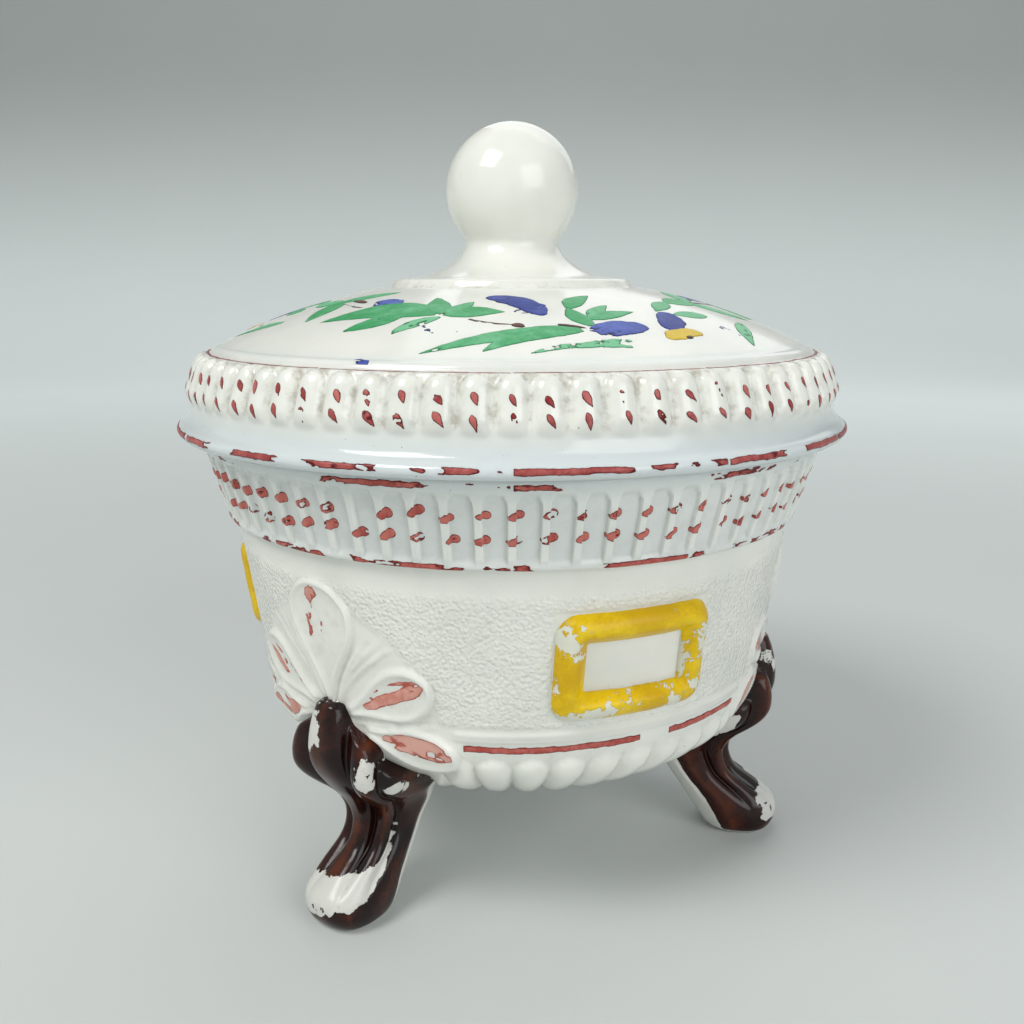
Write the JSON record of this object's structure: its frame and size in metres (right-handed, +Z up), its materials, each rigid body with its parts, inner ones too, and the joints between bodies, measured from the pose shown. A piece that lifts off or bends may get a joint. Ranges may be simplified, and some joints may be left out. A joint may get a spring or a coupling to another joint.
{
  "type": "lidded glass box",
  "caption": "Round footed box of pressed opal glass with a ribbed rim, a gadrooned base, fluted cabriole legs and a loose domed lid painted with flower sprays; it holds sweets or small things.",
  "frame": {"origin": "centre of the dish on the plane of its three soles", "axes": "+Z up along the axis of the dish and lid; -Y is the front, between the left leg and the front buckle"},
  "size_m": [0.1226, 0.1226, 0.135],
  "materials": {
    "opal_glass": "gloss, milky white",
    "brown_enamel": "gloss, worn brown enamel",
    "yellow_enamel": "gloss, worn yellow enamel",
    "red_enamel": "satin, worn red enamel",
    "green_enamel": "satin green enamel",
    "blue_enamel": "satin blue enamel"
  },
  "bodies": {
    "dish": {"bowl": "opal_glass", "gadrooned_cup": "opal_glass", "base_boss": "opal_glass", "rim_ribs": "opal_glass", "leg_left": "brown_enamel", "leg_right": "brown_enamel", "leg_back": "brown_enamel", "palmette_left": "opal_glass", "palmette_right": "opal_glass", "palmette_back": "opal_glass", "buckle_front": "yellow_enamel", "buckle_back": "yellow_enamel", "buckle_left": "yellow_enamel", "rim_red_lines": "red_enamel", "belt_red_lines": "red_enamel"},
    "lid": {"lid_cover": "opal_glass", "lid_reeds": "opal_glass", "lid_knob": "opal_glass", "lid_red_lines": "red_enamel", "lid_green_leaves": "green_enamel", "lid_blue_fruits": "blue_enamel", "lid_yellow_flowers": "yellow_enamel", "lid_brown_stems": "brown_enamel"}
  },
  "joints": [
    {"name": "lid_lift", "type": "slide", "parent": "dish", "child": "lid", "axis": [0, 0, 1], "range_m": [0, 0.08]}
  ]
}
